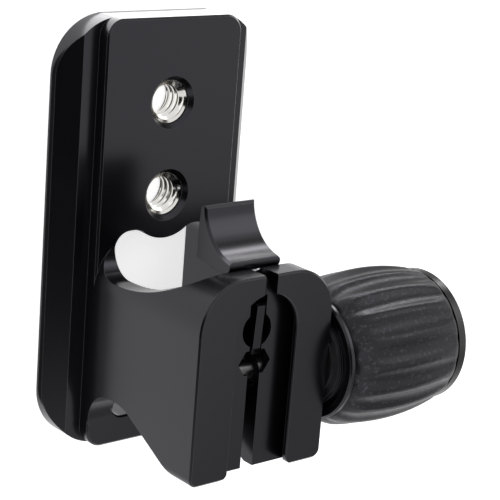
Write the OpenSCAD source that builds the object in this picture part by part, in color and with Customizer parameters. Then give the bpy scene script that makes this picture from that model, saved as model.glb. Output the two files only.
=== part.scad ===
// Replacement foot for a lens collar, with a dovetail plate for a tripod head
// and a split clamp for the rail of the collar.
// X runs across the plate and along the clamp screw, Y along the plate,
// and Z from the sliding face of the plate up to the lens.
// The origin is the centre of the sliding face.

/* [Dovetail plate] */
// Width across the dovetail tips
dovetail_w = 38; // [36:0.1:40]
// Length of the plate
plate_l = 70.8; // [68:0.1:90]
// Height of the upright land at each dovetail tip
tip_t = 1.5; // [1:0.1:2]
// Height and inset of the 45 degree dovetail flank
flank = 3.0; // [2.5:0.1:3.4]
// Radius of the corners of the dovetail plate
plate_corner_r = 9.5; // [6:0.5:12]
// Thickness of the plate, through the raised block
plate_t = 6.8; // [6.4:0.1:9]
// Radius of the corners of the raised block
block_corner_r = 3.0; // [2:0.1:5]
// Small chamfer on the machined edges
edge_c = 0.3; // [0.15:0.05:0.4]

/* [Tripod threads] */
// Distance from the upper end of the plate to the first thread
first_thread_y = 13.8; // [12:0.1:15]
// Distance between the two threads
thread_pitch_y = 15.2; // [14:0.1:16]
// Diameter of the hole that holds a thread insert
insert_hole_d = 7.2; // [7:0.1:7.6]
// Diameter of the countersink at the top of the hole
countersink_d = 8.6; // [8:0.1:9.2]
// Depth of the insert below the face of the block
insert_recess = 1.0; // [0.8:0.1:1.3]
// Length of a thread insert
insert_l = 5.2; // [4.5:0.1:5.4]
// Minor diameter inside a thread insert
insert_bore_d = 5.2; // [5:0.05:5.4]

/* [Window and strap slot] */
// Half width of the window in the plate
window_half_w = 9.75; // [9:0.05:10.5]
// Height of the upper edge of the window, from the top of the clamp
window_rise = 0.55; // [0.3:0.05:1]
// Radius of the rounded corners of the window
window_corner_r = 2.9; // [2.4:0.1:3.2]
// Length of the window, from its upper edge to its lower edge
window_l = 22.2; // [18:0.1:23]
// How far the hollow behind the window reaches past the foot of the saw cut
hollow_lap = 0.6; // [0.3:0.1:1]
// Radius of the wall kept around the lower thread
thread_wall_r = 7.2; // [6.8:0.1:7.6]
// Length of the strap slot under the arm
strap_slot_l = 17; // [14:0.5:19]
// Width of the strap slot
strap_slot_w = 4.2; // [3.5:0.1:4.6]
// Distance from the lower end of the plate to the middle of the strap slot
strap_slot_y = 6.7; // [6:0.1:7.5]

/* [Clamp arm] */
// Width of the arm, the clamp and the raised block
arm_w = 26.4; // [26:0.1:28]
// Height of the clamp face above the sliding face of the plate
clamp_z = 34.3; // [33.5:0.1:36]
// Distance from the middle of the plate up to the top of the clamp
clamp_top_y = 0.6; // [0:0.1:1.2]
// Length of the clamp along the plate
clamp_l = 32.4; // [31.5:0.1:34]
// Radius of the upper corners of the clamp
clamp_corner_r = 8; // [7:0.1:8.5]
// Radius of the lower corners of the clamp
foot_corner_r = 1.5; // [1:0.1:2]
// Radius of the long curve of the saddle behind the clamp
saddle_r = 30; // [28:0.5:34]
// Depth of the saddle below the top of the clamp
saddle_depth = 6.25; // [5.8:0.05:6.6]
// Distance from the plate to the deepest place of the saddle
saddle_z = 5.2; // [4.6:0.1:5.6]
// Radius where the saddle turns up to the plate
saddle_root_r = 4.6; // [4:0.1:5]
// Radius of the arch between the plate and the arm
arch_r = 5.5; // [5:0.1:6]
// Height of the arch above the lower end of the clamp
arch_rise = 7.1; // [6.6:0.1:7.6]
// Length of the flat top of the arch
arch_land = 1.5; // [1:0.1:2]
// Radius that leads from the arch into the slope
arch_lead_r = 9; // [7:0.5:10]
// Angle of the slope under the arm
slope_deg = 27.5; // [25:0.5:30]

/* [Rail channel] */
// Width of the opening between the lips
channel_w = 11.8; // [11:0.1:12.2]
// Width of the channel at its floor
channel_floor_w = 15.2; // [14.4:0.1:15.6]
// Depth of the channel
channel_d = 2.6; // [2.2:0.1:2.8]
// Height of the upright land on the lips
lip_land = 0.7; // [0.5:0.1:0.9]
// Distance from the top of the clamp to the middle of the round end
channel_end_y = 9.0; // [8.8:0.1:10]
// Radius of the lower ends of the lips
lip_end_r = 1.6; // [1:0.1:2]
// Width of the saw cut between the jaws
split_w = 2.4; // [2.2:0.1:2.8]
// Depth of the saw cut from the clamp face
split_d = 15.3; // [14.8:0.1:16]
// Width of the saw cut where the catch tooth stands
tooth_slot_w = 3.2; // [2.9:0.1:3.6]

/* [Catch] */
// Width of the thumb pad
pad_w = 10; // [8:0.1:11]
// Height of the thumb pad above the top of the clamp
pad_h = 8.5; // [8:0.1:10]
// Length of the foot of the thumb pad
pad_d = 8.2; // [7.8:0.1:8.6]
// Distance of the underside of the thumb pad below the top of the clamp
pad_lap = 0.7; // [0.5:0.1:0.9]
// Length of the sloping part of the foot of the thumb pad
pad_slope_d = 5; // [4:0.1:6]
// Radius of the hollow for the thumb
pad_hollow_r = 8; // [7:0.1:10]
// Chamfer along the hollow for the thumb
pad_edge_c = 0.4; // [0.2:0.1:0.6]
// Thickness of the blade in the saw cut
blade_t = 1.5; // [1.2:0.1:1.8]
// Height of the upper end of the catch tooth above the channel floor
tooth_proud = 0.65; // [0.4:0.05:0.8]
// Height of the lower end of the catch tooth above the channel floor
tooth_start = 0.2; // [0.1:0.05:0.3]
// Distance from the catch spring up to the top of the catch tooth
tooth_lead = 4.35; // [4:0.05:4.6]
// Length of the catch tooth
tooth_l = 7.6; // [7:0.1:7.8]
// Diameter of the pivot pin
pivot_d = 2; // [1.6:0.1:2.4]
// Distance from the axis of the clamp screw down to the pivot pin
pivot_drop = 6.5; // [6:0.1:7]
// Height of the pivot pin above the foot of the saw cut
pivot_rise = 4.5; // [4:0.1:5]
// Distance from the middle of the channel's round end down to the catch spring
spring_drop = 0.6; // [0.4:0.1:0.8]
// Thickness of the ledge under the catch spring
spring_ledge = 0.9; // [0.6:0.1:1.2]
// Room for the catch spring between its ledge and the blade
spring_room = 4; // [3.6:0.1:4.2]
// Diameter of the hole for the catch spring
spring_hole_d = 5.7; // [5.4:0.1:6]
// Outer diameter of the catch spring
spring_d = 4.6; // [4:0.1:4.8]
// Wire diameter of the catch spring
spring_wire_d = 0.5; // [0.4:0.05:0.6]
// Number of turns of the catch spring
spring_turns = 5; // [3:1:6]
// Width of the pocket in the channel floor
pocket_w = 6.4; // [6:0.1:7]
// Height of the pocket in the channel floor
pocket_h = 4.0; // [3.6:0.1:4.2]
// Depth of the pocket in the channel floor
pocket_d = 2.2; // [1.8:0.1:2.4]

/* [Clamp knob] */
// Distance from the top of the clamp to the axis of the clamp screw
screw_y = 17.15; // [17:0.05:18]
// Depth of the axis of the clamp screw below the clamp face
screw_depth = 5.75; // [5.7:0.05:6]
// Diameter of the clamp screw
screw_d = 5; // [4.8:0.1:5.1]
// Wall left beyond the blind end of the tapped hole in the far jaw
tapped_wall = 2.7; // [2:0.1:3]
// Length of the screw beyond the knob, into the far jaw
screw_reach = 22.5; // [20:0.1:24]
// Length of the rubber grip
grip_l = 22.8; // [20:0.1:26]
// Greatest diameter of the rubber grip
grip_d = 25.8; // [24:0.1:27]
// Diameter of the rubber grip at its ends
grip_end_d = 23; // [22:0.1:23.6]
// Number of flutes round the grip
flutes = 18; // [14:1:24]
// Depth of the flutes
flute_depth = 0.6; // [0.3:0.05:0.9]
// Diameter of the metal core under the grip
core_d = 19; // [17:0.1:20]
// Diameter of the flange at the near end of the core
flange_d = 20.8; // [20:0.1:21.2]
// Thickness of the flange
flange_t = 0.85; // [0.7:0.05:1.2]
// Length of the end cap beyond the grip
cap_l = 2.6; // [2:0.1:3.5]
// Diameter of the end cap
cap_d = 22.4; // [21:0.1:22.6]
// Diameter of the steel washer
washer_d = 15.2; // [13:0.1:16]
// Thickness of the steel washer
washer_t = 0.5; // [0.4:0.05:0.8]
// Diameter of the plastic washer
slip_washer_d = 13; // [11:0.1:14]
// Thickness of the plastic washer
slip_washer_t = 0.3; // [0.3:0.05:0.5]

/* [Fits] */
// Radial running clearance of pins and screws
run_gap = 0.06; // [0.03:0.01:0.1]
// Clearance between faces that pass each other
face_gap = 0.3; // [0.25:0.05:0.4]

/* [Hidden] */
$fn = 96;
// Amount by which a cutter runs past the face that it opens
past = 1;

// Places along the plate
half_l = plate_l / 2;
upper_thread_y = half_l - first_thread_y;
lower_thread_y = upper_thread_y - thread_pitch_y;
clamp_low_y = clamp_top_y - clamp_l;
channel_y = clamp_top_y - channel_end_y;
saddle_low_y = clamp_top_y - saddle_depth;
arch_top_y = clamp_low_y + arch_rise;
screw_axis_y = clamp_top_y - screw_y;
slot_y = strap_slot_y - half_l;

// Heights above the sliding face
shoulder_z = tip_t + flank;
floor_z = clamp_z - channel_d;
split_z = clamp_z - split_d;
screw_axis_z = clamp_z - screw_depth;
insert_top_z = plate_t - insert_recess;
hollow_z = split_z + hollow_lap;

// Half widths across the plate
arm_x = arm_w / 2;
split_x = split_w / 2;

// The saddle: a long curve that ends at the top of the clamp
saddle_low_z = plate_t + saddle_z;
saddle_top_z = saddle_low_z + sqrt(pow(saddle_r, 2) - pow(saddle_r - saddle_depth, 2));

// The arch under the arm and the slope that follows it
arch_z = plate_t + arch_r;
lead_z = arch_z + arch_land;
slope_start = [lead_z + arch_lead_r * sin(slope_deg), arch_top_y - arch_lead_r * (1 - cos(slope_deg))];
slope_end_z = slope_start[0] + (slope_start[1] - clamp_low_y) / tan(slope_deg);

// The catch turns on a pin below and behind the clamp screw
pivot_y = screw_axis_y - pivot_drop;
pivot_z = split_z + pivot_rise;
spring_y = channel_y - spring_drop;
tooth_top_y = spring_y + tooth_lead;
tooth_low_y = tooth_top_y - tooth_l;
spring_seat_z = hollow_z + spring_ledge;
blade_back_z = spring_seat_z + spring_room;
pad_nose_z = saddle_top_z - face_gap;
pad_back_z = pad_nose_z - pad_d;
pad_low_y = clamp_top_y - pad_lap;
pad_top_y = clamp_top_y + pad_h;
// Room between the blade and the clamp screw
screw_room = 1.1;

// The stack on the clamp screw, from the jaw outwards
steel_washer_x = arm_x + slip_washer_t;
core_x = steel_washer_x + washer_t;
grip_x = core_x + flange_t;
cap_x = grip_x + grip_l;
tapped_end_x = -arm_x + tapped_wall;

// Shapes that are used more than once

// Extrudes an outline drawn as [height, place along the plate] across the plate
module across(x0, x1) {
    translate([x1, 0, 0]) rotate([0, -90, 0]) linear_extrude(x1 - x0) children();
}

// Turns an outline drawn as [radius, place across the plate] about the clamp screw
module about_screw() {
    translate([0, screw_axis_y, screw_axis_z]) rotate([0, 90, 0]) rotate_extrude() children();
}

// Outline with straight sides, a low and a high corner radius
module tablet(half_w, low_y, high_y, low_r, high_r) {
    translate([-half_w, low_y + low_r]) square([2 * half_w, high_y - low_y - low_r - high_r]);
    translate([-half_w + low_r, low_y]) square([2 * (half_w - low_r), low_r + 0.5]);
    translate([-half_w + high_r, high_y - high_r - 0.5]) square([2 * (half_w - high_r), high_r + 0.5]);
    for (side = [-1, 1]) {
        translate([side * (half_w - low_r), low_y + low_r]) circle(low_r);
        translate([side * (half_w - high_r), high_y - high_r]) circle(high_r);
    }
}

// The tablet as a slab whose upper edge has a 45 degree chamfer
module chamfered_tablet(half_w, low_y, high_y, low_r, high_r, z0, z1, chamfer) {
    translate([0, 0, z0]) linear_extrude(z1 - chamfer - z0) tablet(half_w, low_y, high_y, low_r, high_r);
    lean_x = [[z1 - chamfer, -half_w], [z1 - chamfer, half_w], [z1, half_w - chamfer], [z1, -half_w + chamfer]];
    lean_y = [[z1 - chamfer, low_y], [z1 - chamfer, high_y], [z1, high_y - chamfer], [z1, low_y + chamfer]];
    // the long sides
    translate([0, high_y - high_r, 0]) rotate([90, 0, 0]) linear_extrude(high_y - high_r - low_y - low_r)
        polygon([for (p = lean_x) [p[1], p[0]]]);
    // the upper and the lower end
    for (end = [[high_r, half_w - high_r, 1], [low_r, half_w - low_r, -1]]) {
        across(-end[1], end[1]) intersection() {
            polygon(lean_y);
            edge_y = end[2] > 0 ? high_y : low_y;
            translate([z1 - chamfer, min(edge_y, edge_y - end[2] * end[0])]) square([chamfer, end[0]]);
        }
    }
    for (side = [-1, 1]) {
        translate([side * (half_w - low_r), low_y + low_r, z1 - chamfer])
            cylinder(h = chamfer, r1 = low_r, r2 = low_r - chamfer);
        translate([side * (half_w - high_r), high_y - high_r, z1 - chamfer])
            cylinder(h = chamfer, r1 = high_r, r2 = high_r - chamfer);
    }
}

// The foot: one machined piece

module dovetail_base() {
    intersection() {
        translate([0, half_l, 0]) rotate([90, 0, 0]) linear_extrude(plate_l) polygon([
            [-dovetail_w / 2, 0], [dovetail_w / 2, 0], [dovetail_w / 2, tip_t],
            [dovetail_w / 2 - flank, shoulder_z], [-dovetail_w / 2 + flank, shoulder_z], [-dovetail_w / 2, tip_t]
        ]);
        linear_extrude(shoulder_z)
            tablet(dovetail_w / 2, -half_l, half_l, plate_corner_r, plate_corner_r);
    }
}

// Side view of the arm with its saddle, arch and slope
module arm_side() {
    difference() {
        translate([0, clamp_low_y]) square([clamp_z, clamp_l]);
        intersection() {
            translate([saddle_low_z, saddle_low_y + saddle_r]) circle(saddle_r, $fn = 192);
            translate([saddle_low_z, saddle_low_y]) square([clamp_z, clamp_l]);
        }
        translate([plate_t + saddle_root_r, saddle_low_y])
            square([saddle_z - saddle_root_r, saddle_depth + past]);
        translate([plate_t, saddle_low_y + saddle_root_r])
            square([saddle_z, saddle_depth - saddle_root_r + past]);
        translate([plate_t + saddle_root_r, saddle_low_y + saddle_root_r]) circle(saddle_root_r);
        translate([arch_z, arch_top_y - arch_r]) circle(arch_r);
        intersection() {
            translate([lead_z, arch_top_y - arch_lead_r]) circle(arch_lead_r);
            translate([lead_z, arch_top_y - arch_lead_r]) square([arch_lead_r * sin(slope_deg), arch_lead_r]);
        }
        polygon([
            [plate_t, clamp_low_y - past], [plate_t, arch_top_y - arch_r], [arch_z, arch_top_y - arch_r],
            [arch_z, arch_top_y], [lead_z, arch_top_y], slope_start,
            [slope_end_z, clamp_low_y], [slope_end_z, clamp_low_y - past]
        ]);
    }
}

module clamp_arm() {
    intersection() {
        chamfered_tablet(arm_x, clamp_low_y, clamp_top_y, foot_corner_r, clamp_corner_r, 0, clamp_z, edge_c);
        across(-arm_x - past, arm_x + past) arm_side();
    }
}

module insert_hole(y) {
    lead_in = (countersink_d - insert_hole_d) / 2;
    translate([0, y, -past]) cylinder(h = plate_t + 2 * past, d = insert_hole_d);
    translate([0, y, plate_t - lead_in])
        cylinder(h = lead_in + past, d1 = insert_hole_d, d2 = countersink_d + 2 * past);
}

// Window that runs on as a hollow between two cheeks of the arm; its upper edge runs round the lower thread
module window_outline() {
    window_top_y = clamp_top_y + window_rise;
    bend_y = window_top_y - window_corner_r;
    low_y = window_top_y - window_l;
    // the corners cut a hair into the thread's wall, so that the two curves cross and don't just touch
    reach = thread_wall_r + window_corner_r - 0.01;
    bend_x = sqrt(pow(reach, 2) - pow(lower_thread_y - bend_y, 2));
    corner_x = window_half_w - window_corner_r;
    touch = thread_wall_r / reach;
    touch_x = bend_x * touch;
    touch_y = lower_thread_y + (bend_y - lower_thread_y) * touch;
    low_bend_y = low_y + window_corner_r;
    translate([-window_half_w, low_bend_y]) square([2 * window_half_w, bend_y - low_bend_y]);
    translate([-corner_x, low_y]) square([2 * corner_x, window_corner_r]);
    for (side = [-1, 1]) {
        translate([side * corner_x, low_bend_y]) circle(window_corner_r);
        translate([side * corner_x, bend_y]) circle(window_corner_r);
        translate([side * bend_x, bend_y]) circle(window_corner_r);
        translate([min(side * corner_x, side * bend_x), bend_y]) square([corner_x - bend_x, window_corner_r]);
    }
    difference() {
        polygon([[-bend_x, bend_y - 0.5], [bend_x, bend_y - 0.5], [bend_x, bend_y],
                 [touch_x, touch_y], [-touch_x, touch_y], [-bend_x, bend_y]]);
        translate([0, lower_thread_y]) circle(thread_wall_r);
    }
}

module strap_slot() {
    slot_r = strap_slot_w / 2;
    end_x = strap_slot_l / 2 - slot_r;
    translate([0, slot_y, -past]) linear_extrude(plate_t + 2 + past) {
        translate([-end_x, -slot_r]) square([2 * end_x, strap_slot_w]);
        translate([-end_x, 0]) circle(slot_r);
        translate([end_x, 0]) circle(slot_r);
    }
    // chamfered mouth in the face of the block
    for (side = [-1, 1]) translate([side * end_x, slot_y, plate_t - edge_c])
        cylinder(h = edge_c + 0.1, r1 = slot_r, r2 = slot_r + edge_c + 0.1);
    across(-end_x, end_x) polygon([
        [plate_t - edge_c, slot_y - slot_r], [plate_t + 0.1, slot_y - slot_r - edge_c - 0.1],
        [plate_t + 0.1, slot_y + slot_r], [plate_t - edge_c, slot_y + slot_r]
    ]);
}

// Undercut channel for the rail of the lens collar, with a round upper end
module rail_channel() {
    lip_z = clamp_z - lip_land;
    lip_c = edge_c / 2;
    half = [
        [0, floor_z], [channel_floor_w / 2, floor_z], [channel_w / 2, lip_z], [channel_w / 2, clamp_z - lip_c],
        [channel_w / 2 + lip_c + past, clamp_z + past], [0, clamp_z + past]
    ];
    translate([0, channel_y, 0]) rotate_extrude() polygon(half);
    for (side = [0, 1]) mirror([side, 0, 0])
        translate([0, channel_y, 0]) rotate([90, 0, 0]) linear_extrude(channel_y - clamp_low_y + past)
            polygon(half);
    // round the lower ends of the lips
    for (side = [0, 1]) mirror([side, 0, 0]) translate([channel_w / 2, clamp_low_y, floor_z])
        linear_extrude(channel_d + past) difference() {
            translate([-past, -past]) square([lip_end_r + past, lip_end_r + past]);
            translate([lip_end_r, lip_end_r]) circle(lip_end_r);
        }
}

// Pocket in the channel floor, open to the clamp screw
module floor_pocket() {
    point = pocket_h / 3;
    pocket_y = screw_axis_y + 2.25;
    translate([0, pocket_y, floor_z - pocket_d]) linear_extrude(pocket_d + past) polygon([
        [-pocket_w / 2, 0], [-pocket_w / 2 + point, pocket_h / 2], [pocket_w / 2 - point, pocket_h / 2],
        [pocket_w / 2, 0], [pocket_w / 2 - point, -pocket_h / 2], [-pocket_w / 2 + point, -pocket_h / 2]
    ]);
}

module screw_bores() {
    clear_r = screw_d / 2 + 4 * run_gap;
    translate([0, screw_axis_y, screw_axis_z]) rotate([0, 90, 0]) {
        translate([0, 0, tapped_end_x]) cylinder(h = -tapped_end_x, r = screw_d / 2 + run_gap);
        cylinder(h = arm_x + past, r = clear_r);
    }
}

module pivot_bores() {
    translate([-arm_x / 2 - 1, pivot_y, pivot_z]) rotate([0, 90, 0])
        cylinder(h = arm_x * 1.5 + 1 + past, d = pivot_d);
}

module foot_body() {
    color("#2b2b2e") difference() {
        union() {
            dovetail_base();
            chamfered_tablet(arm_x, -half_l, half_l, block_corner_r, block_corner_r, 0, plate_t, edge_c);
            clamp_arm();
        }
        insert_hole(upper_thread_y);
        insert_hole(lower_thread_y);
        translate([0, 0, -past]) linear_extrude(hollow_z + past) window_outline();
        strap_slot();
        rail_channel();
        translate([-split_x, clamp_low_y - past, split_z])
            cube([split_w, clamp_l + 2 * past, split_d + past]);
        translate([-tooth_slot_w / 2, spring_y, spring_seat_z])
            cube([tooth_slot_w, tooth_top_y + 1.2 - spring_y, clamp_z - spring_seat_z]);
        translate([0, spring_y, spring_seat_z]) cylinder(h = clamp_z - spring_seat_z, d = spring_hole_d);
        floor_pocket();
        screw_bores();
        pivot_bores();
    }
}

module thread_insert(y) {
    translate([0, y, insert_top_z - insert_l]) difference() {
        cylinder(h = insert_l, d = insert_hole_d);
        translate([0, 0, -past]) cylinder(h = insert_l + 2 * past, d = insert_bore_d);
    }
}

module upper_thread_insert() {
    color("#d8d8da") thread_insert(upper_thread_y);
}

module lower_thread_insert() {
    color("#d8d8da") thread_insert(lower_thread_y);
}

// The catch: a thumb pad on a blade that turns on a pin in the saw cut

// Middle of the circle of the given radius through two points, on their upper side
function arc_middle(a, b, r) =
    let (mid = (a + b) / 2, half = norm(b - a) / 2, across_dir = [a[1] - b[1], b[0] - a[0]] / norm(b - a))
    mid + across_dir * sqrt(r * r - half * half);

module thumb_pad() {
    nose_r = 1.3;
    top_tip = [pad_back_z + 1.4, pad_top_y - 0.45];
    nose_top = [pad_nose_z - 0.45, pad_low_y + 2.05];
    hollow = arc_middle(top_tip, nose_top, pad_hollow_r);
    edge_x = pad_w / 2 - pad_edge_c;
    difference() {
        across(-pad_w / 2, pad_w / 2) {
            polygon([
                [pad_back_z, pad_low_y + 0.7], [pad_back_z + pad_slope_d, pad_low_y], [pad_nose_z - nose_r, pad_low_y],
                [pad_nose_z, pad_low_y + nose_r], nose_top, [pad_nose_z - 1, pad_low_y + 3],
                top_tip, [pad_back_z + 1, pad_top_y], [pad_back_z + 0.5, pad_top_y - 0.1],
                [pad_back_z + 0.3, pad_top_y - 0.5], [pad_back_z, pad_top_y - 5]
            ]);
            translate([pad_nose_z - nose_r, pad_low_y + nose_r]) circle(nose_r);
        }
        across(-pad_w, pad_w) translate(hollow) circle(pad_hollow_r);
        for (side = [0, 1]) mirror([side, 0, 0]) translate([edge_x, hollow[1], hollow[0]]) rotate([0, 90, 0])
            cylinder(h = pad_edge_c + 0.1, r1 = pad_hollow_r, r2 = pad_hollow_r + pad_edge_c + 0.1);
    }
}

module blade_outline() {
    eye_r = pivot_d / 2 + 1.5;
    screw_side_z = screw_axis_z - screw_d / 2 - screw_room;
    front_z = pad_nose_z - 1.6;
    top_z = floor_z + tooth_proud;
    low_z = floor_z + tooth_start;
    tip_c = 0.3;
    difference() {
        union() {
            polygon([
                [pad_back_z + 0.8, pad_low_y + 1], [front_z, pad_low_y + 1], [front_z, tooth_top_y + 0.2],
                [top_z - tip_c, tooth_top_y], [top_z, tooth_top_y - tip_c],
                [low_z, tooth_low_y + tip_c], [low_z - tip_c, tooth_low_y], [screw_axis_z, tooth_low_y],
                [screw_side_z, screw_axis_y], [pivot_z + eye_r, pivot_y], [pivot_z - eye_r, pivot_y],
                [blade_back_z, spring_y - 4], [blade_back_z, spring_y + 4]
            ]);
            translate([pivot_z, pivot_y]) circle(eye_r);
        }
        translate([screw_axis_z, screw_axis_y]) circle(screw_d / 2 + screw_room);
        translate([pivot_z, pivot_y]) circle(pivot_d / 2 + run_gap);
    }
}

module catch_lever() {
    color("#303034") {
        thumb_pad();
        across(-blade_t / 2, blade_t / 2) blade_outline();
    }
}

module catch_pivot_pin() {
    color("#b8b8bc") translate([-arm_x / 2 - 1, pivot_y, pivot_z]) rotate([0, 90, 0])
        cylinder(h = arm_x * 1.5 + 1 - face_gap, d = pivot_d);
}

// A tube of eight sides along a helix, closed at both ends
module catch_spring() {
    sides = 8;
    steps = 14;
    seat = 0.05;
    coil_r = (spring_d - spring_wire_d) / 2;
    wire_r = spring_wire_d / 2;
    low_z = spring_seat_z + seat + wire_r;
    rise = blade_back_z - seat - wire_r - low_z;
    count = spring_turns * steps;
    rings = [for (i = [0 : count]) let (turn = 360 * i / steps) [
        for (k = [0 : sides - 1]) let (r = coil_r + wire_r * cos(360 * k / sides))
            [r * cos(turn), r * sin(turn), low_z + rise * i / count + wire_r * sin(360 * k / sides)]
    ]];
    walls = [for (i = [0 : count - 1], k = [0 : sides - 1]) [
        i * sides + k, (i + 1) * sides + k, (i + 1) * sides + (k + 1) % sides, i * sides + (k + 1) % sides
    ]];
    ends = [[for (k = [0 : sides - 1]) k], [for (k = [sides - 1 : -1 : 0]) count * sides + k]];
    color("#c8c8cc") translate([0, spring_y, 0])
        polyhedron([for (ring = rings) each ring], concat(walls, ends), convexity = 8);
}

// The clamp screw and its knob

module clamp_screw() {
    tip_c = 0.6;
    end_x = cap_x - 3;
    tip_x = core_x - screw_reach;
    color("#b0b0b4") about_screw() polygon([
        [0, tip_x], [screw_d / 2 - tip_c, tip_x], [screw_d / 2, tip_x + tip_c], [screw_d / 2, end_x], [0, end_x]
    ]);
}

module washer(x, thickness, outer_d, hole_gap) {
    about_screw() translate([screw_d / 2 + hole_gap, x])
        square([(outer_d - screw_d) / 2 - hole_gap, thickness]);
}

module slip_washer() {
    color("#e6e4dc") washer(arm_x, slip_washer_t, slip_washer_d, 3 * run_gap);
}

module steel_washer() {
    color("#a8a8ac") washer(steel_washer_x, washer_t, washer_d, 3 * run_gap);
}

// Aluminium core: a ring flange at the near end and a spigot for the end cap
module knob_core() {
    groove_w = 1.2;
    groove_d = 0.4;
    spigot_d = 15;
    spigot_l = 1.2;
    land_d = flange_d - 2.6;
    color("#3c3c40") about_screw() difference() {
        union() {
            translate([0, core_x]) polygon([
                [0, 0], [flange_d / 2 - edge_c, 0], [flange_d / 2, edge_c], [flange_d / 2, flange_t], [0, flange_t]
            ]);
            translate([0, core_x]) square([core_d / 2, cap_x - core_x]);
            translate([0, core_x]) square([spigot_d / 2, cap_x - core_x + spigot_l]);
        }
        translate([0, core_x - past]) square([screw_d / 2, cap_x - 3 - core_x + past]);
        translate([land_d / 2 - groove_w, core_x - past]) square([groove_w, groove_d + past]);
    }
}

// Radius of the grip at a share t of its length, before the flutes
function barrel_r(t) = grip_end_d / 2 + (grip_d - grip_end_d) / 2 * (1 - pow(2 * t - 1, 2));

// Depth of the flutes at a share t of the length and an angle: long scoops that narrow to both ends
function flute(t, angle) =
    let (fade = sqrt(max(0, 1 - pow(abs(2 * t - 1), 3))), turn = angle * flutes / 360, off = abs(turn - round(turn)))
    fade <= 0 ? 0 : flute_depth * fade * max(0, 1 - pow(off / (0.12 + 0.27 * fade), 2));

module knob_grip() {
    around = flutes * 8;
    along = 16;
    edge_r = 0.5;
    // shares of the length at which a ring stands, with its drop for the rounded ends
    stations = concat([[0, edge_r]], [for (i = [0 : along]) [(edge_r + (grip_l - 2 * edge_r) * i / along) / grip_l, 0]],
                      [[1, edge_r]]);
    outer = [for (s = stations) [for (k = [0 : around - 1]) let (a = 360 * k / around)
        let (r = barrel_r(s[0]) - s[1] - flute(s[0], a)) [r * cos(a), r * sin(a), grip_x + s[0] * grip_l]]];
    bore_r = core_d / 2 / cos(180 / around);
    inner = [for (z = [grip_x + grip_l, grip_x]) [for (k = [0 : around - 1]) let (a = 360 * k / around)
        [bore_r * cos(a), bore_r * sin(a), z]]];
    rings = concat(outer, inner);
    count = len(rings);
    faces = [for (i = [0 : count - 1], k = [0 : around - 1]) let (n = (i + 1) % count, m = (k + 1) % around)
        [i * around + k, n * around + k, n * around + m, i * around + m]];
    color("#38383a") translate([0, screw_axis_y, screw_axis_z]) rotate([0, 90, 0])
        polyhedron([for (ring = rings) each ring], faces, convexity = 6);
}

// Smooth cap with a rounded rim and a slightly domed face
module knob_end_cap() {
    rim_r = 1.1;
    dome_r = 60;
    spigot_d = 15;
    spigot_l = 1.2;
    color("#1c1c1e") about_screw() difference() {
        intersection() {
            union() {
                translate([0, cap_x]) square([cap_d / 2, cap_l - rim_r]);
                translate([0, cap_x]) square([cap_d / 2 - rim_r, cap_l]);
                translate([cap_d / 2 - rim_r, cap_x + cap_l - rim_r]) circle(rim_r);
            }
            translate([0, cap_x + cap_l - dome_r]) circle(dome_r, $fn = 360);
            translate([0, cap_x]) square([cap_d, 2 * cap_l]);
        }
        translate([-past, cap_x - past]) square([spigot_d / 2 + past, spigot_l + past]);
    }
}

foot_body();
upper_thread_insert();
lower_thread_insert();
catch_lever();
catch_pivot_pin();
catch_spring();
clamp_screw();
slip_washer();
steel_washer();
knob_core();
knob_grip();
knob_end_cap();
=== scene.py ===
"""Looks of a lens quick release plate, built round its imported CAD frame."""

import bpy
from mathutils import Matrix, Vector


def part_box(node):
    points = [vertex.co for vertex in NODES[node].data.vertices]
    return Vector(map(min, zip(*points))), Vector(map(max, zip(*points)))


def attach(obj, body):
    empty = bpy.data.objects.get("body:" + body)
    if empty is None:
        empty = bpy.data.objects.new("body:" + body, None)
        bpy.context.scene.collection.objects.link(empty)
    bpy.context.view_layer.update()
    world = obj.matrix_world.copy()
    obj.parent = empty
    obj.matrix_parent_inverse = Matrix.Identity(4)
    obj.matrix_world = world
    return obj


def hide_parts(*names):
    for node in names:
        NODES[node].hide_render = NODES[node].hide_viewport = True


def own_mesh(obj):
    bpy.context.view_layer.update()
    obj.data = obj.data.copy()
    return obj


bl_info = {
    "name": "Lens Quick Release Plate",
    "version": (1, 0, 0),
    "blender": (4, 5, 0),
    "location": "View3D > Sidebar > Lens Plate",
    "description": "Dresses the CAD frame of a lens plate with its finishes, threads, grip and stage",
    "category": "Object",
}

import math

import bmesh
import bpy
from mathutils import Matrix, Vector

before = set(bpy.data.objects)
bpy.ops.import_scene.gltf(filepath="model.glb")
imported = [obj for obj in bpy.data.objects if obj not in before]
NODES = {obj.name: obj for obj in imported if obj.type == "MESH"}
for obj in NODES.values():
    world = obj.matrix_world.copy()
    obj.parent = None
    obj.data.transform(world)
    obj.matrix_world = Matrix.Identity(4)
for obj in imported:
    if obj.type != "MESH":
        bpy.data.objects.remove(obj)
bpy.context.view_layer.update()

MM = 0.001
# A quarter turn about Y lays a piece that was modelled upright along the clamp screw
ALONG_SCREW = (0, math.pi / 2, 0)
# Faintly violet sheen of the dyed oxide layer and of the rubber
SHEEN_TINT = "#f4f1ff"

# The photo's camera: its place in metres, its three directions, and its lens and sensor in millimetres
CAMERA_PLACE = (-0.16281, 0.07481, 0.21864)
CAMERA_RIGHT = (0.77139, 0.07651, 0.63174)
CAMERA_UP = (0.11838, 0.95816, -0.26060)
CAMERA_BACK = (-0.62525, 0.27581, 0.73006)
CAMERA_LENS = 122.303
CAMERA_SENSOR = 36
# Point that the lamps are aimed at
LAMP_AIM = (0, 0, 0.015)
# A card that stands higher than this faces the object, and a lower one lies flat
FLAT_CARD_HEIGHT = 0.01


def middle(node):
    """Middle of a CAD node's box, in metres."""
    low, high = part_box(node)
    return (low + high) / 2


def span(node):
    """Size of a CAD node's box, in metres."""
    low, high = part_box(node)
    return high - low


# Sizes and colours that a user would change


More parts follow.
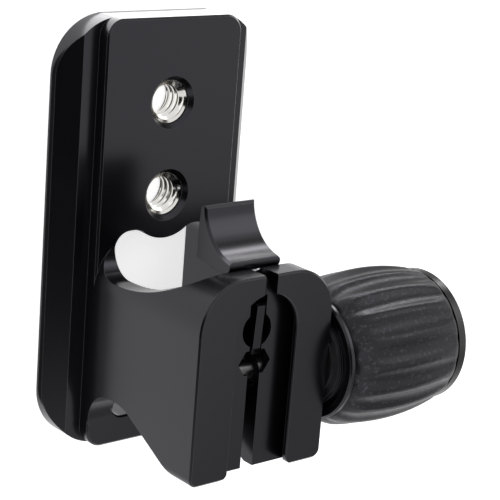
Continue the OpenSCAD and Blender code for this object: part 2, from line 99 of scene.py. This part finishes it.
class PlateFinish(bpy.types.PropertyGroup):
    anodised_colour: bpy.props.StringProperty(
        name="Anodised black", description="sRGB hex colour of the dyed oxide layer", default="#050506"
    )
    blast_grain: bpy.props.FloatProperty(
        name="Blast grain",
        description="Size of the fine pits left by bead blasting, drawn coarser than real so that they show",
        default=0.15 * MM,
        min=0.02 * MM,
        unit="LENGTH",
    )
    edge_break: bpy.props.FloatProperty(
        name="Edge break",
        description="Width of the small bevel on sharp edges",
        default=0.1 * MM,
        min=0.0,
        unit="LENGTH",
    )


class ThreadSizes(bpy.types.PropertyGroup):
    insert_pitch: bpy.props.FloatProperty(
        name="Tripod thread pitch",
        description="Pitch of a thread with 20 turns to the inch",
        default=1.27 * MM,
        unit="LENGTH",
    )
    insert_depth: bpy.props.FloatProperty(
        name="Tripod thread depth", description="Depth of the tripod thread", default=0.57 * MM, unit="LENGTH"
    )
    insert_lead: bpy.props.FloatProperty(
        name="Insert lead chamfer",
        description="Width of the chamfer at the mouth of a thread",
        default=0.3 * MM,
        unit="LENGTH",
    )
    screw_pitch: bpy.props.FloatProperty(
        name="Clamp screw pitch", description="Pitch of the clamp screw", default=0.8 * MM, unit="LENGTH"
    )
    screw_depth: bpy.props.FloatProperty(
        name="Clamp screw depth",
        description="Depth of the clamp screw's thread",
        default=0.43 * MM,
        unit="LENGTH",
    )


class SpringSizes(bpy.types.PropertyGroup):
    spring_wire: bpy.props.FloatProperty(
        name="Spring wire", description="Diameter of the catch spring's wire", default=0.5 * MM, unit="LENGTH"
    )
    spring_turns: bpy.props.IntProperty(
        name="Spring turns", description="Turns of the catch spring", default=5, min=2
    )


class KnobFinish(bpy.types.PropertyGroup):
    rubber_colour: bpy.props.StringProperty(
        name="Grip rubber", description="sRGB hex colour of the moulded grip", default="#040405"
    )
    flute_turn: bpy.props.FloatProperty(
        name="Flute turn", description="Turn of the flutes from the CAD grip's, in degrees", default=-6.0
    )
    rubber_grain: bpy.props.FloatProperty(
        name="Rubber grain",
        description="Size of the grains moulded into the grip",
        default=0.3 * MM,
        unit="LENGTH",
    )


class StageSettings(bpy.types.PropertyGroup):
    backdrop_colour: bpy.props.StringProperty(
        name="Backdrop", description="sRGB hex colour of the floor and the background", default="#ffffff"
    )
    top_power: bpy.props.FloatProperty(
        name="Top light",
        description="Power of the soft light high beyond the free end of the plate, on the knob's side",
        default=0.3,
        unit="POWER",
    )
    side_power: bpy.props.FloatProperty(
        name="Side light", description="Power of the soft light above the plate", default=0.3, unit="POWER"
    )
    sky: bpy.props.FloatProperty(
        name="Fill",
        description="Strength of the white surroundings as a light",
        default=0.6,
        subtype="FACTOR",
    )


# Helpers for modelling


def start(add, name, **settings):
    """Adds one primitive with nothing else selected, and returns it."""
    bpy.ops.object.select_all(action="DESELECT")
    add(**settings)
    piece = bpy.context.active_object
    piece.name = name
    return piece


def pick(piece):
    """Makes a piece the only one selected."""
    bpy.ops.object.select_all(action="DESELECT")
    piece.select_set(True)
    bpy.context.view_layer.objects.active = piece


def finish_with(piece, kind, **settings):
    """Adds a modifier with its settings and applies it."""
    pick(piece)
    modifier = piece.modifiers.new(kind.title(), kind)
    for key, value in settings.items():
        setattr(modifier, key, value)
    bpy.ops.object.modifier_apply(modifier=modifier.name)


def outline(name, points):
    """Draws a line of edges through points given as (radius, height), ready to be turned about Z."""
    piece = start(bpy.ops.mesh.primitive_plane_add, name, size=MM)
    corners = [Vector((radius, 0, height)) for radius, height in points]
    bpy.ops.object.mode_set(mode="EDIT")
    bpy.ops.mesh.select_all(action="SELECT")
    bpy.ops.mesh.merge(type="CENTER")
    bpy.ops.transform.translate(value=corners[0])
    for here, there in zip(corners, corners[1:]):
        bpy.ops.mesh.extrude_vertices_move(TRANSFORM_OT_translate={"value": there - here})
    bpy.ops.object.mode_set(mode="OBJECT")
    return piece


def recalculate(piece, merge=0.001 * MM):
    """Merges doubles and points all faces outwards."""
    pick(piece)
    bpy.ops.object.mode_set(mode="EDIT")
    bpy.ops.mesh.select_all(action="SELECT")
    bpy.ops.mesh.remove_doubles(threshold=merge)
    bpy.ops.mesh.normals_make_consistent(inside=False)
    bpy.ops.object.mode_set(mode="OBJECT")


def turned(name, points, steps=96):
    """A turned solid from its half section, which starts and ends on the axis or closes on itself."""
    piece = outline(name, points)
    finish_with(piece, "SCREW", steps=steps, render_steps=steps, use_smooth_shade=True)
    recalculate(piece)
    return piece


def threaded_rod(name, core_r, depth, pitch, length, steps=64):
    """A rod with a real helical thread, from height 0 up to its length, cut flat at both ends."""
    flank_angle = 30
    flank = depth * math.tan(math.radians(flank_angle))
    crest = (pitch - 2 * flank) / 3
    rod = outline(name, [
        (core_r, -pitch),
        (core_r, -pitch + 2 * crest),
        (core_r + depth, -pitch + 2 * crest + flank),
        (core_r + depth, -pitch + 3 * crest + flank),
        (core_r, 0),
    ])
    turns = math.ceil(length / pitch) + 2
    finish_with(
        rod, "SCREW", steps=steps, render_steps=steps,
        screw_offset=pitch, iterations=turns, use_smooth_shade=True,
    )
    recalculate(rod)
    bpy.ops.object.mode_set(mode="EDIT")
    for height, side in ((0, "clear_inner"), (length, "clear_outer")):
        bpy.ops.mesh.select_all(action="SELECT")
        bpy.ops.mesh.bisect(plane_co=(0, 0, height), plane_no=(0, 0, 1), use_fill=True, **{side: True})
    bpy.ops.object.mode_set(mode="OBJECT")
    recalculate(rod)
    return rod


def carve(piece, cutter, how="DIFFERENCE"):
    """Cuts, trims or joins one piece with another, which is then thrown away."""
    finish_with(piece, "BOOLEAN", object=cutter, operation=how, solver="EXACT")
    bpy.data.objects.remove(cutter)


def copy_of(node, name):
    """A merged copy of a CAD node's mesh, with triangles that meet at a low angle joined to quads."""
    source = NODES[node]
    piece = bpy.data.objects.new(name, source.data.copy())
    bpy.context.scene.collection.objects.link(piece)
    pick(piece)
    bpy.ops.object.mode_set(mode="EDIT")
    bpy.ops.mesh.select_all(action="SELECT")
    bpy.ops.mesh.customdata_custom_splitnormals_clear()
    bpy.ops.mesh.remove_doubles(threshold=0.002 * MM)
    bpy.ops.mesh.tris_convert_to_quads(face_threshold=math.radians(40), shape_threshold=math.radians(60))
    bpy.ops.object.mode_set(mode="OBJECT")
    return piece


def smooth(piece, angle=35):
    """Shades round stretches smooth and keeps edges sharper than the angle."""
    pick(piece)
    bpy.ops.object.shade_smooth_by_angle(angle=math.radians(angle))


def settle(piece, body, slot, *stands_for):
    """Applies a piece's place, says what it rides on and hides the CAD nodes that it stands for. The slot is
    not used.
    """
    pick(piece)
    bpy.ops.object.transform_apply(location=True, rotation=True, scale=True)
    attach(piece, body)
    if stands_for:
        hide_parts(*stands_for)


# Helpers for materials


def linear(hex_colour):
    """sRGB hex to linear RGBA."""
    channels = [int(hex_colour[i : i + 2], 16) / 255 for i in (1, 3, 5)]
    return [c / 12.92 if c <= 0.04045 else ((c + 0.055) / 1.055) ** 2.4 for c in channels] + [1.0]


def node_in(tree, kind, settings=None, **links):
    """Adds a node with its settings; links and values go by socket name, with _ for a space, or by number."""
    made = tree.nodes.new(kind)
    for key, value in (settings or {}).items():
        setattr(made, key, value)
    for key, value in links.items():
        socket = made.inputs[int(key[1:])] if key[1:].isdigit() else made.inputs[key.replace("_", " ")]
        if isinstance(value, bpy.types.NodeSocket):
            tree.links.new(value, socket)
        else:
            socket.default_value = value
    return made


def new_material(name, colour, roughness, metallic=0.0, ior=None):
    """A material with its plain values, its node tree and its shader."""
    material = bpy.data.materials.new(name)
    material.use_nodes = True
    shader = material.node_tree.nodes["Principled BSDF"]
    shader.inputs["Base Color"].default_value = linear(colour)
    shader.inputs["Roughness"].default_value = roughness
    shader.inputs["Metallic"].default_value = metallic
    if ior:
        shader.inputs["IOR"].default_value = ior
    return material, material.node_tree, shader


def dress(piece, material):
    """Gives a piece one material."""
    piece.data.materials.clear()
    piece.data.materials.append(material)


# Materials


def anodised_aluminium(name, colour, grain, edge):
    """Bead blasted, dyed and sealed aluminium. Its oxide layer is clear like glass, so it shines softly,
    and a lighter colour along the sharp edges is a painted highlight there."""
    material, tree, shader = new_material(name, colour, 0.15, ior=1.5)
    shader.inputs["Specular Tint"].default_value = linear(SHEEN_TINT)
    place = node_in(tree, "ShaderNodeTexCoord").outputs["Object"]
    grains = node_in(
        tree, "ShaderNodeTexNoise", Vector=place, Scale=1 / (4 * grain), Detail=3.0, Roughness=0.6
    )
    cloud = node_in(tree, "ShaderNodeTexNoise", Vector=place, Scale=1 / (12 * MM), Detail=2.0)
    shine = node_in(tree, "ShaderNodeMapRange", Value=cloud.outputs["Fac"], To_Min=0.2, To_Max=0.26)
    rounded = node_in(tree, "ShaderNodeBevel", {"samples": 4}, Radius=edge)
    facing = node_in(tree, "ShaderNodeNewGeometry").outputs["Normal"]
    agree = node_in(
        tree, "ShaderNodeVectorMath", {"operation": "DOT_PRODUCT"}, i0=rounded.outputs["Normal"], i1=facing
    )
    # Painted highlight: a lighter colour along the sharp edges, where the bevelled normal turns from the
    # face's own
    edge_highlight_mask = node_in(
        tree, "ShaderNodeMapRange", Value=agree.outputs["Value"],
        From_Min=0.995, From_Max=0.9, To_Min=0.0, To_Max=0.8,
    )
    edge_highlight_colour = linear("#4a4a4e")
    tint = node_in(
        tree, "ShaderNodeMix", {"data_type": "RGBA"},
        i0=edge_highlight_mask.outputs["Result"], i6=linear(colour), i7=edge_highlight_colour,
    )
    bump = node_in(
        tree, "ShaderNodeBump", Height=grains.outputs["Fac"], Normal=rounded.outputs["Normal"],
        Strength=0.12, Distance=0.01 * MM,
    )
    tree.links.new(tint.outputs[2], shader.inputs["Base Color"])
    tree.links.new(shine.outputs["Result"], shader.inputs["Roughness"])
    tree.links.new(bump.outputs["Normal"], shader.inputs["Normal"])
    return material


def machined_steel(name, colour, roughness, line=None, centre=(0, 0, 0)):
    """Turned, ground or drawn steel: bright and a little patchy. With a line width, it has fine rings
    about the screw's axis, as a tool leaves them, drawn coarser than real so that they show."""
    material, tree, shader = new_material(name, colour, roughness, metallic=1.0)
    place = node_in(tree, "ShaderNodeTexCoord").outputs["Object"]
    patches = node_in(tree, "ShaderNodeTexNoise", Vector=place, Scale=1 / (1.5 * MM), Detail=2.0)
    shine = node_in(
        tree, "ShaderNodeMapRange", Value=patches.outputs["Fac"],
        To_Min=0.8 * roughness, To_Max=1.25 * roughness,
    )
    tree.links.new(shine.outputs["Result"], shader.inputs["Roughness"])
    if line:
        centred = node_in(tree, "ShaderNodeMapping", Vector=place, Location=[-c for c in centre])
        rings = node_in(
            tree, "ShaderNodeTexWave", {"wave_type": "RINGS", "rings_direction": "X"},
            Vector=centred.outputs["Vector"], Scale=1 / (20 * line), Distortion=0.4, Detail=2.0,
        )
        bump = node_in(tree, "ShaderNodeBump", Height=rings.outputs["Fac"], Strength=0.15, Distance=0.01 * MM)
        tree.links.new(bump.outputs["Normal"], shader.inputs["Normal"])
    return material


def black_oxide_steel(name):
    """Blackened steel: a thin dark iron oxide that keeps an oily shine."""
    material, tree, shader = new_material(name, "#0a0a0b", 0.28, ior=1.8)
    place = node_in(tree, "ShaderNodeTexCoord").outputs["Object"]
    patches = node_in(tree, "ShaderNodeTexNoise", Vector=place, Scale=1 / (0.8 * MM), Detail=3.0)
    shine = node_in(tree, "ShaderNodeMapRange", Value=patches.outputs["Fac"], To_Min=0.2, To_Max=0.36)
    tree.links.new(shine.outputs["Result"], shader.inputs["Roughness"])
    return material


def moulded_rubber(name, colour, grain):
    """Soft moulded rubber: dark and dull, with the fine spark-eroded grain of its mould and a little dust."""
    material, tree, shader = new_material(name, colour, 0.35, ior=1.41)
    shader.inputs["Specular Tint"].default_value = linear(SHEEN_TINT)
    place = node_in(tree, "ShaderNodeTexCoord").outputs["Object"]
    grains = node_in(
        tree, "ShaderNodeTexNoise", Vector=place, Scale=1 / (2 * grain), Detail=4.0, Roughness=0.65
    )
    specks = node_in(tree, "ShaderNodeTexVoronoi", {"feature": "F1"}, Vector=place, Scale=1 / grain)
    dust = node_in(
        tree, "ShaderNodeMapRange", Value=grains.outputs["Fac"],
        From_Min=0.56, From_Max=0.66, To_Min=0.0, To_Max=1.0,
    )
    dust_colour = linear("#3c3c40")
    tint = node_in(
        tree, "ShaderNodeMix", {"data_type": "RGBA"},
        i0=dust.outputs["Result"], i6=linear(colour), i7=dust_colour,
    )
    shine = node_in(
        tree, "ShaderNodeMapRange", Value=grains.outputs["Fac"],
        From_Min=0.3, From_Max=0.7, To_Min=0.38, To_Max=0.26,
    )
    height = node_in(
        tree, "ShaderNodeMath", {"operation": "MULTIPLY"},
        i0=grains.outputs["Fac"], i1=specks.outputs["Distance"],
    )
    bump = node_in(tree, "ShaderNodeBump", Height=height.outputs["Value"], Strength=0.5, Distance=0.05 * MM)
    tree.links.new(tint.outputs[2], shader.inputs["Base Color"])
    tree.links.new(shine.outputs["Result"], shader.inputs["Roughness"])
    tree.links.new(bump.outputs["Normal"], shader.inputs["Normal"])
    return material


def moulded_plastic(name, colour, roughness):
    """Moulded acetal or ABS: even and smooth, with the faint waviness of a polished mould."""
    material, tree, shader = new_material(name, colour, roughness, ior=1.53)
    place = node_in(tree, "ShaderNodeTexCoord").outputs["Object"]
    waves = node_in(tree, "ShaderNodeTexNoise", Vector=place, Scale=1 / (5 * MM), Detail=1.0)
    bump = node_in(tree, "ShaderNodeBump", Height=waves.outputs["Fac"], Strength=0.05, Distance=0.1 * MM)
    tree.links.new(bump.outputs["Normal"], shader.inputs["Normal"])
    return material


# Operators


class PLATE_OT_cad_finishes(bpy.types.Operator):
    """Gives the CAD nodes that stay their finishes"""

    bl_idname = "plate.cad_finishes"
    bl_label = "Finish the CAD nodes"

    def execute(self, context):
        plate = context.scene.plate_finish
        axis = middle("knob_core")
        black = anodised_aluminium(
            "anodised_aluminium", plate.anodised_colour, plate.blast_grain, plate.edge_break
        )
        finishes = {
            "foot_body": black,
            "catch_lever": black,
            "knob_core": black,
            "catch_pivot_pin": machined_steel("ground_dowel_steel", "#c4c4c6", 0.2),
            "steel_washer": machined_steel("rolled_washer_steel", "#77777a", 0.35, 0.2 * MM, axis),
            "slip_washer": moulded_plastic("moulded_acetal", "#0e0e10", 0.4),
        }
        for name, material in finishes.items():
            dress(NODES[name], material)
        return {"FINISHED"}


class PLATE_OT_thread_inserts(bpy.types.Operator):
    """Models the two stainless inserts with their helical tripod threads"""

    bl_idname = "plate.thread_inserts"
    bl_label = "Model the thread inserts"

    def execute(self, context):
        threads = context.scene.thread_sizes
        steel = machined_steel("turned_stainless_steel", "#dcdad6", 0.14)
        core_r = 2.6 * MM
        edge = 0.12 * MM
        overrun = 1 * MM
        cone_l = 2 * MM
        for node in ("upper_thread_insert", "lower_thread_insert"):
            low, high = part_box(node)
            outer_r = span(node).x / 2
            length = high.z - low.z
            insert = turned(node.replace("thread", "steel"), [
                (0, 0),
                (outer_r - edge, 0),
                (outer_r, edge),
                (outer_r, length - edge),
                (outer_r - edge, length),
                (0, length),
            ])
            tap_l = length + 2 * overrun
            tap = threaded_rod("tap", core_r, threads.insert_depth, threads.insert_pitch, tap_l)
            tap.location.z = -overrun
            carve(insert, tap)
            reach = core_r + threads.insert_depth + threads.insert_lead
            for place, tilt in ((length, 0), (0, math.pi)):
                cone = start(
                    bpy.ops.mesh.primitive_cone_add, "countersink", vertices=96,
                    radius1=reach - cone_l / 2, radius2=reach + cone_l / 2, depth=cone_l,
                    location=(0, 0, place), rotation=(tilt, 0, 0),
                )
                carve(insert, cone)
            insert.location = Vector((middle(node).x, middle(node).y, low.z))
            smooth(insert, 30)
            dress(insert, steel)
            settle(insert, "foot", "stainless_insert", node)
        return {"FINISHED"}


class PLATE_OT_clamp_screw(bpy.types.Operator):
    """Models the clamp screw with its thread, its slim relief and its plain shank"""

    bl_idname = "plate.clamp_screw"
    bl_label = "Model the clamp screw"

    def execute(self, context):
        threads = context.scene.thread_sizes
        low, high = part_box("clamp_screw")
        radius = span("clamp_screw").z / 2
        length = high.x - low.x
        tip = 0.6 * MM
        lap = 0.2 * MM
        shoulder = 0.4 * MM
        past = 0.01 * MM
        root_r = radius - threads.screw_depth
        relief_r = 1.5 * MM
        # Places along X: the thread ends just beside the pocket, and the plain shank begins inside it
        thread_end = -3.3 * MM
        shank_start = 1.7 * MM
        thread_l = thread_end - low.x
        shank_at = shank_start - low.x
        screw = threaded_rod(
            "blackened_clamp_screw", root_r, threads.screw_depth, threads.screw_pitch, thread_l + past
        )
        envelope = turned("envelope", [
            (0, 0),
            (radius - tip, 0),
            (radius + past, tip),
            (radius + past, thread_l - tip),
            (root_r, thread_l),
            (0, thread_l),
        ])
        carve(screw, envelope, "INTERSECT")
        shank = turned("shank", [
            (0, thread_l - lap),
            (relief_r, thread_l - lap),
            (relief_r, shank_at - shoulder),
            (radius, shank_at),
            (radius, length),
            (0, length),
        ])
        carve(screw, shank, "UNION")
        screw.rotation_euler = ALONG_SCREW
        screw.location = Vector((low.x, middle("clamp_screw").y, middle("clamp_screw").z))
        smooth(screw, 30)
        dress(screw, black_oxide_steel("black_oxide_steel"))
        settle(screw, "knob", "screw_steel", "clamp_screw")
        return {"FINISHED"}


class PLATE_OT_knob_grip(bpy.types.Operator):
    """Rounds the fluted rubber grip and gives it its moulded grain"""

    bl_idname = "plate.knob_grip"
    bl_label = "Model the rubber grip"

    def execute(self, context):
        knob = context.scene.knob_finish
        # Slims the grip, so that the turned flutes stay inside the CAD box
        slim = 0.992
        # Rings at the near end: how far they reach in from it, and the share that each is drawn in to
        near_rings = ((2.2 * MM, 0.983), (1 * MM, 0.956), (0.1 * MM, 0.967))
        grip = copy_of("knob_grip", "fluted_rubber_grip")
        near_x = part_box("knob_grip")[0].x
        axis = middle("knob_grip")
        bpy.ops.object.mode_set(mode="EDIT")
        bpy.ops.mesh.select_all(action="SELECT")
        bpy.ops.transform.rotate(value=math.radians(knob.flute_turn), orient_axis="X", center_override=axis)
        bpy.ops.transform.resize(value=(1, slim, slim), center_override=axis)
        for inset, share in near_rings:
            self.narrow(grip, near_x + inset, share, axis)
        bpy.ops.object.mode_set(mode="OBJECT")
        finish_with(grip, "SUBSURF", levels=2, render_levels=2)
        recalculate(grip)
        smooth(grip, 50)
        dress(grip, moulded_rubber("moulded_rubber", knob.rubber_colour, knob.rubber_grain))
        settle(grip, "knob", "grip_rubber", "knob_grip")
        return {"FINISHED"}

    def narrow(self, grip, reach, share, axis):
        """Draws the outer rings that stand nearer than a place towards the axis, and leaves the bore."""
        bore_clear_r = 10 * MM
        bpy.ops.mesh.select_all(action="DESELECT")
        mesh = bmesh.from_edit_mesh(grip.data)
        for vertex in mesh.verts:
            radius = (vertex.co - axis).yz.length
            vertex.select = vertex.co.x < reach and radius > bore_clear_r
        mesh.select_flush_mode()
        bmesh.update_edit_mesh(grip.data)
        bpy.ops.transform.resize(value=(1, share, share), center_override=axis)


class PLATE_OT_end_cap(bpy.types.Operator):
    """Turns the domed end cap of the knob"""

    bl_idname = "plate.end_cap"
    bl_label = "Model the end cap"

    def execute(self, context):
        node = "knob_end_cap"
        low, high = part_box(node)
        length = high.x - low.x
        radius = span(node).z / 2
        rim_r = 0.15 * MM
        dome_r = 60 * MM
        spigot_r = 7.5 * MM
        spigot_l = 1.2 * MM
        flat_r = radius - rim_r
        rings = 12
        dome_radii = [flat_r * i / rings for i in range(rings + 1)]
        dome = [(r, length - r**2 / (2 * dome_r)) for r in dome_radii]
        rim_at = dome[-1][1] - rim_r
        rim_angles = [math.radians(a) for a in range(10, 91, 10)]
        rim = [(flat_r + rim_r * math.sin(a), rim_at + rim_r * math.cos(a)) for a in rim_angles]
        spigot = [(spigot_r, 0), (spigot_r, spigot_l), (0, spigot_l)]
        cap = turned("domed_end_cap", [*dome, *rim, (radius, 0), *spigot])
        cap.rotation_euler = ALONG_SCREW
        cap.location = Vector((low.x, middle(node).y, middle(node).z))
        smooth(cap, 40)
        dress(cap, moulded_plastic("moulded_abs", "#08080a", 0.3))
        settle(cap, "knob", "cap_plastic", node)
        return {"FINISHED"}


class PLATE_OT_catch_spring(bpy.types.Operator):
    """Coils the spring under the catch"""

    bl_idname = "plate.catch_spring"
    bl_label = "Model the catch spring"

    def execute(self, context):
        node = "catch_spring"
        sizes = context.scene.spring_sizes
        low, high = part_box(node)
        wire_r = sizes.spring_wire / 2
        coil_r = span(node).x / 2 - wire_r
        turns = sizes.spring_turns
        rise = high.z - low.z - 2 * wire_r
        spring = start(bpy.ops.mesh.primitive_circle_add, "coiled_catch_spring", vertices=12, radius=wire_r)
        bpy.ops.object.mode_set(mode="EDIT")
        bpy.ops.mesh.select_all(action="SELECT")
        bpy.ops.transform.rotate(value=math.pi / 2, orient_axis="X", center_override=(0, 0, 0))
        bpy.ops.transform.translate(value=(coil_r, 0, wire_r))
        bpy.ops.object.mode_set(mode="OBJECT")
        steps = 36
        finish_with(
            spring, "SCREW", steps=steps, render_steps=steps,
            screw_offset=rise / turns, iterations=turns, use_smooth_shade=True,
        )
        bpy.ops.object.mode_set(mode="EDIT")
        bpy.ops.mesh.select_all(action="SELECT")
        bpy.ops.mesh.fill_holes(sides=0)
        bpy.ops.object.mode_set(mode="OBJECT")
        recalculate(spring)
        spring.location = Vector((middle(node).x, middle(node).y, low.z))
        smooth(spring, 40)
        dress(spring, machined_steel("drawn_spring_wire", "#bcbcbf", 0.25))
        settle(spring, "foot", "spring_steel", node)
        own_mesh(spring)
        return {"FINISHED"}


class PLATE_OT_stage(bpy.types.Operator):
    """Adds the floor, the lights, the studio cards, the background and the camera"""

    bl_idname = "plate.stage"
    bl_label = "Set the stage"

    def execute(self, context):
        scene = context.scene
        stage = scene.stage_settings
        floor = start(bpy.ops.mesh.primitive_plane_add, "floor", size=8)
        dress(floor, self.backdrop("seamless_paper", stage.backdrop_colour))
        self.light("top", (0.38, 0.32, 0.37), (0.3, 0.3), stage.top_power)
        self.light("side", (-0.1, -0.05, 0.5), (0.5, 0.5), stage.side_power)
        self.cards()
        self.white_room(scene, stage)
        self.photo_camera(scene)
        scene.view_settings.view_transform = "Standard"
        return {"FINISHED"}

    def cards(self):
        """Sets up the studio cards, with each one's place, width and depth in metres, and its brightness."""
        low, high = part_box("foot_body")
        on_floor = 0.0003
        self.card("dark_card", (-0.41, -0.04, 0.3), (0.36, 0.36), 0.0)
        self.card("grey_card", (0.38, -0.35, 0.35), (0.45, 0.32), 0.45)
        # Painted light: a bright patch on the floor past the free end of the plate, which only reflections
        # see
        self.card("painted_light_edge_card", (0.0, high.y + 0.0202, on_floor), (0.12, 0.04), 4.0)
        # Painted shadow: a dark strip on the floor along the plate's long edge, which only reflections see
        self.card("painted_shadow_side_card", (low.x - 0.0013, -0.001, on_floor), (0.0024, 0.069), 0.1)
        # Painted light: a bright patch on the floor on the knob's side, which only reflections see
        self.card("painted_light_floor_card", (0.12, 0.125, on_floor), (0.13, 0.09), 9.0)
        # Painted shadow: a dim patch on the floor on the knob's side, which only reflections see
        self.card("shade_card", (0.075, 0.04, on_floor), (0.06, 0.07), 0.4)
        self.card("far_card", (0.3, 0.34, 0.05), (0.5, 0.12), 0.2)

    def white_room(self, scene, stage):
        """Surrounds the object with white, which lights dull surfaces less than it shows."""
        world = scene.world or bpy.data.worlds.new("white_room")
        scene.world = world
        world.use_nodes = True
        tree = world.node_tree
        tree.nodes.clear()
        white = linear(stage.backdrop_colour)
        fill = node_in(tree, "ShaderNodeBackground", Color=white, Strength=stage.sky)
        seen = node_in(tree, "ShaderNodeBackground", Color=white, Strength=1.0)
        choice = node_in(
            tree, "ShaderNodeMixShader", i0=self.seen_rays(tree),
            i1=fill.outputs["Background"], i2=seen.outputs["Background"],
        )
        node_in(tree, "ShaderNodeOutputWorld", Surface=choice.outputs["Shader"])

    def photo_camera(self, scene):
        """Sets the camera where the photo was taken from."""
        camera = bpy.data.objects.new("camera", bpy.data.cameras.new("camera"))
        scene.collection.objects.link(camera)
        turn = Matrix((CAMERA_RIGHT, CAMERA_UP, CAMERA_BACK)).transposed().to_4x4()
        camera.matrix_world = Matrix.Translation(CAMERA_PLACE) @ turn
        camera.data.lens = CAMERA_LENS
        camera.data.sensor_width = CAMERA_SENSOR
        camera.data.clip_start = 0.01
        camera.data.clip_end = 20
        scene.camera = camera

    def seen_rays(self, tree):
        """1 for a ray from the camera, a reflection or a clear surface, and 0 for light on a dull one."""
        path = node_in(tree, "ShaderNodeLightPath")
        shiny = node_in(
            tree, "ShaderNodeMath", {"operation": "MAXIMUM"},
            i0=path.outputs["Is Glossy Ray"], i1=path.outputs["Is Transmission Ray"],
        )
        seen = node_in(
            tree, "ShaderNodeMath", {"operation": "MAXIMUM"},
            i0=path.outputs["Is Camera Ray"], i1=shiny.outputs["Value"],
        )
        return seen.outputs["Value"]

    def backdrop(self, name, colour):
        """White paper: it shows as white with a faint shadow, glows a little more in reflections, and lights
        the object as plain paper does."""
        glow_in_view = 0.7
        glow_in_reflections = 0.95
        colour_in_reflections = linear("#888888")
        material, tree, shader = new_material(name, colour, 0.9)
        shader.inputs["Emission Color"].default_value = linear(colour)
        path = node_in(tree, "ShaderNodeLightPath")
        glossy = node_in(
            tree, "ShaderNodeMath", {"operation": "MULTIPLY"},
            i0=path.outputs["Is Glossy Ray"], i1=glow_in_reflections,
        )
        glow = node_in(
            tree, "ShaderNodeMath", {"operation": "MULTIPLY"},
            i0=path.outputs["Is Camera Ray"], i1=glow_in_view,
        )
        total = node_in(
            tree, "ShaderNodeMath", {"operation": "ADD"},
            i0=glossy.outputs["Value"], i1=glow.outputs["Value"],
        )
        paper = node_in(
            tree, "ShaderNodeMix", {"data_type": "RGBA"},
            i0=path.outputs["Is Glossy Ray"], i6=linear(colour), i7=colour_in_reflections,
        )
        tree.links.new(paper.outputs[2], shader.inputs["Base Color"])
        tree.links.new(total.outputs["Value"], shader.inputs["Emission Strength"])
        return material

    def card(self, name, place, size, strength):
        """A studio card that only reflections see. It lies on the floor, or faces the object."""
        card = start(bpy.ops.mesh.primitive_plane_add, name, size=1)
        card.scale = (*size, 1)
        card.location = place
        if place[2] > FLAT_CARD_HEIGHT:
            card.rotation_euler = (-Vector(place)).to_track_quat("Z", "Y").to_euler()
        material, tree, shader = new_material(name, "#000000", 1.0)
        shader.inputs["Specular IOR Level"].default_value = 0
        shader.inputs["Emission Color"].default_value = (1, 1, 1, 1)
        shader.inputs["Emission Strength"].default_value = strength
        dress(card, material)
        card.visible_camera = card.visible_diffuse = card.visible_shadow = card.visible_transmission = False

    def light(self, name, place, size, power):
        """A soft rectangular light aimed at the middle of the object."""
        data = bpy.data.lights.new(name, "AREA")
        data.shape = "RECTANGLE"
        data.size, data.size_y = size
        data.energy = power
        lamp = bpy.data.objects.new(name, data)
        bpy.context.scene.collection.objects.link(lamp)
        lamp.location = place
        lamp.rotation_euler = (Vector(LAMP_AIM) - Vector(place)).to_track_quat("-Z", "Y").to_euler()


class PLATE_PT_panel(bpy.types.Panel):
    """Lists the steps that dress the frame"""

    bl_label = "Lens Plate"
    bl_idname = "PLATE_PT_panel"
    bl_space_type = "VIEW_3D"
    bl_region_type = "UI"
    bl_category = "Lens Plate"

    def draw(self, context):
        for operator in STEPS:
            self.layout.operator(operator.bl_idname)


STEPS = (
    PLATE_OT_cad_finishes,
    PLATE_OT_thread_inserts,
    PLATE_OT_clamp_screw,
    PLATE_OT_knob_grip,
    PLATE_OT_end_cap,
    PLATE_OT_catch_spring,
    PLATE_OT_stage,
)
GROUPS = {
    "plate_finish": PlateFinish,
    "thread_sizes": ThreadSizes,
    "spring_sizes": SpringSizes,
    "knob_finish": KnobFinish,
    "stage_settings": StageSettings,
}
CLASSES = (*GROUPS.values(), *STEPS, PLATE_PT_panel)


def register():
    for made in CLASSES:
        bpy.utils.register_class(made)
    for name, group in GROUPS.items():
        setattr(bpy.types.Scene, name, bpy.props.PointerProperty(type=group))


def unregister():
    for name in GROUPS:
        delattr(bpy.types.Scene, name)
    for made in reversed(CLASSES):
        bpy.utils.unregister_class(made)


def main():
    register()
    for operator in STEPS:
        getattr(bpy.ops.plate, operator.bl_idname.split(".")[1])()


if __name__ == "__main__":
    main()
